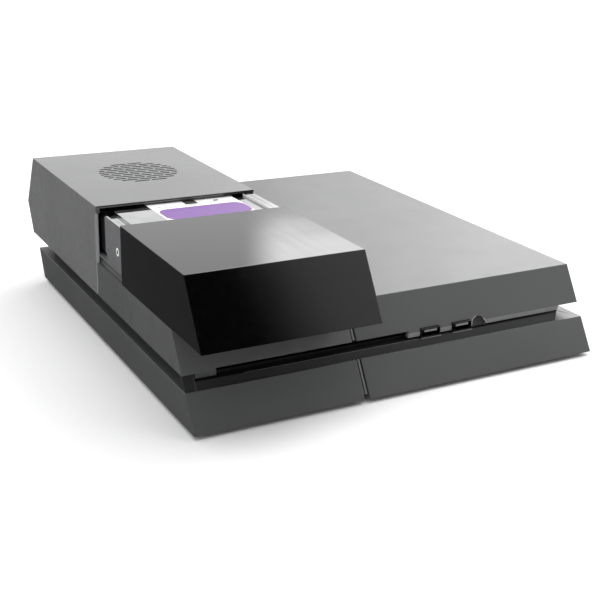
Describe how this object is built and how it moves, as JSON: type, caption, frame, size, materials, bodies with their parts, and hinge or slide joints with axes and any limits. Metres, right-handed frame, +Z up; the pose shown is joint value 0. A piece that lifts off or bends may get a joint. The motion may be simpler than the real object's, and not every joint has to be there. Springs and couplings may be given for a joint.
{
  "type": "game console",
  "caption": "Flat black game console with two slanted layers and a groove between them; on its left half sits a hard-drive bank whose front cover slides forward off the drive.",
  "frame": {"origin": "centre of the footprint box, on the surface that the rubber feet stand on", "axes": "+Z up; the front with the disc slot faces -Y; +X is to the right when the front is looked at"},
  "size_m": [0.275, 0.3238, 0.0888],
  "materials": {
    "shell_black": "satin moulded",
    "bank_black": "semi-gloss moulded",
    "cover_gloss": "high gloss",
    "frame_black": "fine texture",
    "trim_black": "satin moulded",
    "lip_black": "satin moulded",
    "smoked_strip": "smoked clear",
    "usb_shell": "black nickel",
    "rubber": "matt",
    "screw_steel": "zinc plated",
    "bright_screw": "bright",
    "light_guide": "clear satin",
    "circuit_board": "solder mask",
    "shield_steel": "zinc plated sheet",
    "battery_steel": "plain",
    "flex_black": "flat lead",
    "heat_sink_metal": "plain fins",
    "fan_black": "plain",
    "motor_metal": "cast",
    "socket_steel": "tinned",
    "cradle_metal": "dark satin paint, bare edges",
    "casting_black": "black dip paint on cast aluminium",
    "arm_aluminium": "milled",
    "lid_steel": "fine brushed",
    "label_paper": "printed label",
    "platter_mirror": "mirror"
  },
  "bodies": {
    "console": {"lower_shell": "shell_black", "upper_shell": "shell_black", "bank_housing": "bank_black", "bank_base": "bank_black", "mid_frame": "frame_black", "rear_panel": "frame_black", "disc_slot_seal": "frame_black", "optical_socket": "frame_black", "power_inlet": "frame_black", "front_trim": "trim_black", "front_lips": "lip_black", "rubber_feet": "rubber", "shell_screws": "screw_steel", "bank_screws": "screw_steel", "cradle_screws": "screw_steel", "lid_screws": "screw_steel", "sled_rods": "screw_steel", "drive_side_screws": "bright_screw", "light_bar": "light_guide", "touch_strips": "smoked_strip", "lower_accent_strip": "smoked_strip", "main_board": "circuit_board", "bank_board": "circuit_board", "drive_board": "circuit_board", "board_shield": "shield_steel", "disc_drive_case": "shield_steel", "disc_drive_lid": "shield_steel", "power_supply": "shield_steel", "clock_battery": "battery_steel", "wifi_antenna": "flex_black", "link_cable": "flex_black", "heat_sink": "heat_sink_metal", "blower_housing": "fan_black", "bay_adapter": "fan_black", "usb_socket_left": "usb_shell", "usb_socket_right": "usb_shell", "hdmi_socket": "socket_steel", "camera_socket": "socket_steel", "ethernet_socket": "socket_steel", "drive_cradle": "cradle_metal", "drive_casting": "casting_black", "drive_lid": "lid_steel", "drive_label": "label_paper"},
    "front_cover": {"front_cover": "cover_gloss"},
    "impeller": {"blower_impeller": "fan_black"},
    "feed_roller": {"feed_roller": "rubber"},
    "disc_spindle": {"disc_spindle": "motor_metal"},
    "laser_sled": {"laser_sled": "motor_metal"},
    "platters": {"platters": "platter_mirror"},
    "actuator_arm": {"actuator_arm": "arm_aluminium"}
  },
  "joints": [
    {"name": "cover_slide", "type": "slide", "parent": "console", "child": "front_cover", "axis": [0, -1, 0], "range_m": [-0.044, 0.05]},
    {"name": "impeller_spin", "type": "hinge", "parent": "console", "child": "impeller", "pos_m": [0.0685, -0.02446, 0.03], "axis": [0, 0, 1], "continuous": true},
    {"name": "feed_roller_spin", "type": "hinge", "parent": "console", "child": "feed_roller", "pos_m": [-0.0552, -0.11586, 0.0262], "axis": [1, 0, 0], "continuous": true},
    {"name": "disc_spindle_spin", "type": "hinge", "parent": "console", "child": "disc_spindle", "pos_m": [-0.0552, -0.05186, 0.026], "axis": [0, 0, 1], "continuous": true},
    {"name": "laser_sled_slide", "type": "slide", "parent": "console", "child": "laser_sled", "axis": [0, 1, 0], "range_m": [-0.007, 0.027]},
    {"name": "platter_spin", "type": "hinge", "parent": "console", "child": "platters", "pos_m": [-0.0834, -0.00066, 0.07], "axis": [0, 0, 1], "continuous": true},
    {"name": "arm_swing", "type": "hinge", "parent": "console", "child": "actuator_arm", "pos_m": [-0.0574, 0.05734, 0.07], "axis": [0, 0, 1], "range_deg": [0, 36]}
  ]
}
